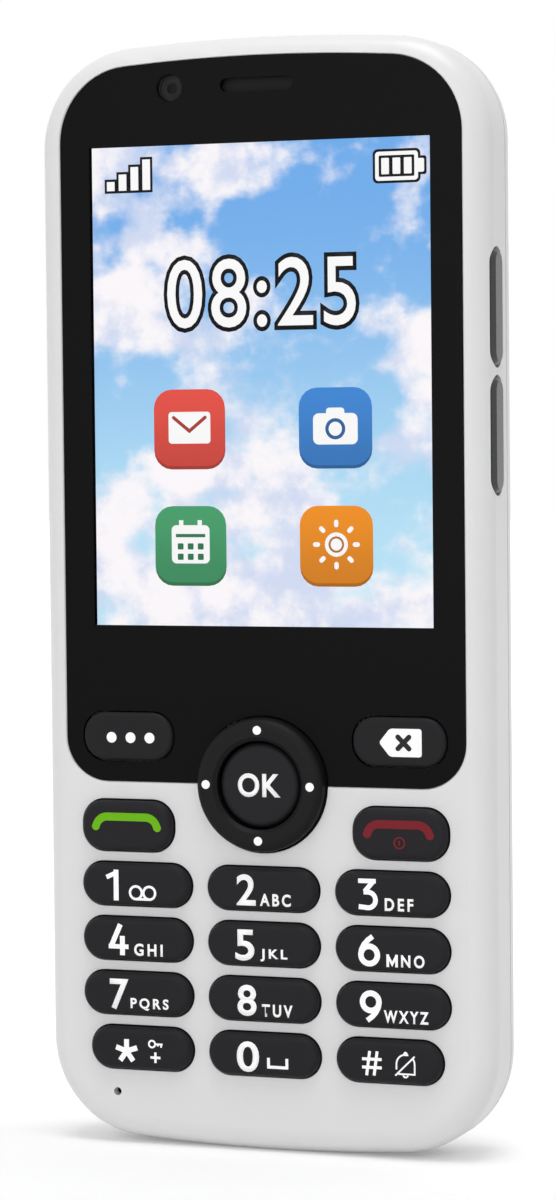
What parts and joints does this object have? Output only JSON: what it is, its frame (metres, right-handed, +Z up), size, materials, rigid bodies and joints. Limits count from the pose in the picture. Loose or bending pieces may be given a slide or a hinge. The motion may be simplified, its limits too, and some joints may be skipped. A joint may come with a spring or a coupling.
{
  "type": "feature phone",
  "caption": "Upright bar phone with a colour display behind a dark window, large soft number keys, a rocking navigation ring, side keys and a lift-off rear cover.",
  "frame": {"origin": "bottom centre of the phone standing upright", "axes": "+Z up along the phone's height, +X to the right of someone facing the display, -Y out of the front"},
  "size_m": [0.0573, 0.014, 0.1334],
  "materials": {
    "housing_white": "satin",
    "chassis_black": "matte",
    "window_black": "gloss",
    "foam_black": "matte",
    "steel": "satin",
    "display_glass": "gloss",
    "backlight_white": "matte",
    "flex_amber": "satin",
    "mat_grey": "matte",
    "film_clear": "satin",
    "switch_grey": "matte",
    "board_green": "satin",
    "tin": "satin",
    "mesh_black": "matte",
    "lens_black": "gloss",
    "brass": "satin",
    "lens_surround": "gloss",
    "flash_clear": "gloss",
    "battery_grey": "satin",
    "key_charcoal": "matte",
    "window_key_black": "matte",
    "side_key_grey": "satin",
    "button_white": "satin"
  },
  "bodies": {
    "phone": {"front_housing": "housing_white", "rear_chassis": "chassis_black", "front_window": "window_black", "window_adhesive": "foam_black", "housing_screws": "steel", "lcd_panel": "display_glass", "backlight_unit": "backlight_white", "display_cushion": "foam_black", "display_flex": "flex_amber", "keypad_mat": "mat_grey", "dome_sheet": "film_clear", "snap_domes": "steel", "side_switches": "switch_grey", "assist_switch": "switch_grey", "main_board": "board_green", "shield_can_radio": "tin", "shield_can_processor": "tin", "earpiece": "chassis_black", "earpiece_mesh": "mesh_black", "front_camera": "lens_black", "microphone": "brass", "rear_camera": "lens_black", "flash_led": "flash_clear", "loudspeaker": "chassis_black", "speaker_mesh": "mesh_black", "vibration_motor": "steel", "battery": "battery_grey", "battery_contacts": "chassis_black", "sim_holder": "tin", "usb_socket": "steel", "headset_jack": "chassis_black", "antenna": "flex_amber"},
    "cover": {"rear_cover": "housing_white", "rear_camera_lens": "lens_surround"},
    "nav_pad": {"nav_rocker_pad": "mat_grey"},
    "nav_ring": {"nav_ring": "key_charcoal"},
    "menu_key": {"menu_key": "window_key_black"},
    "clear_key": {"clear_key": "window_key_black"},
    "ok_key": {"ok_key": "key_charcoal"},
    "call_key": {"call_key": "key_charcoal"},
    "end_key": {"end_key": "key_charcoal"},
    "key_1": {"key_1": "key_charcoal"},
    "key_2": {"key_2": "key_charcoal"},
    "key_3": {"key_3": "key_charcoal"},
    "key_4": {"key_4": "key_charcoal"},
    "key_5": {"key_5": "key_charcoal"},
    "key_6": {"key_6": "key_charcoal"},
    "key_7": {"key_7": "key_charcoal"},
    "key_8": {"key_8": "key_charcoal"},
    "key_9": {"key_9": "key_charcoal"},
    "key_star": {"key_star": "key_charcoal"},
    "key_0": {"key_0": "key_charcoal"},
    "key_hash": {"key_hash": "key_charcoal"},
    "volume_up_key": {"volume_up_key": "side_key_grey"},
    "volume_down_key": {"volume_down_key": "side_key_grey"},
    "assistance_button": {"assistance_button": "button_white"}
  },
  "joints": [
    {"name": "menu_key_press", "type": "slide", "parent": "phone", "child": "menu_key", "axis": [0, 1, 0], "range_m": [0, 0.0003], "stiffness_N_per_m": 4000, "springref_m": -0.0002},
    {"name": "clear_key_press", "type": "slide", "parent": "phone", "child": "clear_key", "axis": [0, 1, 0], "range_m": [0, 0.0003], "stiffness_N_per_m": 4000, "springref_m": -0.0002},
    {"name": "ok_key_press", "type": "slide", "parent": "phone", "child": "ok_key", "axis": [0, 1, 0], "range_m": [0, 0.0003], "stiffness_N_per_m": 4000, "springref_m": -0.0002},
    {"name": "call_key_press", "type": "slide", "parent": "phone", "child": "call_key", "axis": [0, 1, 0], "range_m": [0, 0.0003], "stiffness_N_per_m": 4000, "springref_m": -0.0002},
    {"name": "end_key_press", "type": "slide", "parent": "phone", "child": "end_key", "axis": [0, 1, 0], "range_m": [0, 0.0003], "stiffness_N_per_m": 4000, "springref_m": -0.0002},
    {"name": "key_1_press", "type": "slide", "parent": "phone", "child": "key_1", "axis": [0, 1, 0], "range_m": [0, 0.0003], "stiffness_N_per_m": 4000, "springref_m": -0.0002},
    {"name": "key_2_press", "type": "slide", "parent": "phone", "child": "key_2", "axis": [0, 1, 0], "range_m": [0, 0.0003], "stiffness_N_per_m": 4000, "springref_m": -0.0002},
    {"name": "key_3_press", "type": "slide", "parent": "phone", "child": "key_3", "axis": [0, 1, 0], "range_m": [0, 0.0003], "stiffness_N_per_m": 4000, "springref_m": -0.0002},
    {"name": "key_4_press", "type": "slide", "parent": "phone", "child": "key_4", "axis": [0, 1, 0], "range_m": [0, 0.0003], "stiffness_N_per_m": 4000, "springref_m": -0.0002},
    {"name": "key_5_press", "type": "slide", "parent": "phone", "child": "key_5", "axis": [0, 1, 0], "range_m": [0, 0.0003], "stiffness_N_per_m": 4000, "springref_m": -0.0002},
    {"name": "key_6_press", "type": "slide", "parent": "phone", "child": "key_6", "axis": [0, 1, 0], "range_m": [0, 0.0003], "stiffness_N_per_m": 4000, "springref_m": -0.0002},
    {"name": "key_7_press", "type": "slide", "parent": "phone", "child": "key_7", "axis": [0, 1, 0], "range_m": [0, 0.0003], "stiffness_N_per_m": 4000, "springref_m": -0.0002},
    {"name": "key_8_press", "type": "slide", "parent": "phone", "child": "key_8", "axis": [0, 1, 0], "range_m": [0, 0.0003], "stiffness_N_per_m": 4000, "springref_m": -0.0002},
    {"name": "key_9_press", "type": "slide", "parent": "phone", "child": "key_9", "axis": [0, 1, 0], "range_m": [0, 0.0003], "stiffness_N_per_m": 4000, "springref_m": -0.0002},
    {"name": "key_star_press", "type": "slide", "parent": "phone", "child": "key_star", "axis": [0, 1, 0], "range_m": [0, 0.0003], "stiffness_N_per_m": 4000, "springref_m": -0.0002},
    {"name": "key_0_press", "type": "slide", "parent": "phone", "child": "key_0", "axis": [0, 1, 0], "range_m": [0, 0.0003], "stiffness_N_per_m": 4000, "springref_m": -0.0002},
    {"name": "key_hash_press", "type": "slide", "parent": "phone", "child": "key_hash", "axis": [0, 1, 0], "range_m": [0, 0.0003], "stiffness_N_per_m": 4000, "springref_m": -0.0002},
    {"name": "nav_rock_up_down", "type": "hinge", "parent": "phone", "child": "nav_pad", "pos_m": [0, -0.0033, 0.04435], "axis": [1, 0, 0], "range_deg": [-1.5, 1.5], "stiffness_Nm_per_rad": 0.5},
    {"name": "nav_rock_left_right", "type": "hinge", "parent": "nav_pad", "child": "nav_ring", "pos_m": [0, -0.0033, 0.04435], "axis": [0, 0, 1], "range_deg": [-1.5, 1.5], "stiffness_Nm_per_rad": 0.5},
    {"name": "volume_up_key_press", "type": "slide", "parent": "phone", "child": "volume_up_key", "axis": [-1, 0, 0], "range_m": [0, 0.0003], "stiffness_N_per_m": 4000, "springref_m": -0.0002},
    {"name": "volume_down_key_press", "type": "slide", "parent": "phone", "child": "volume_down_key", "axis": [-1, 0, 0], "range_m": [0, 0.0003], "stiffness_N_per_m": 4000, "springref_m": -0.0002},
    {"name": "assistance_button_press", "type": "slide", "parent": "phone", "child": "assistance_button", "axis": [0, -1, 0], "range_m": [0, 0.0003], "stiffness_N_per_m": 4000, "springref_m": -0.0002},
    {"name": "cover_lift", "type": "slide", "parent": "phone", "child": "cover", "axis": [0, 1, 0], "range_m": [0, 0.03]}
  ]
}
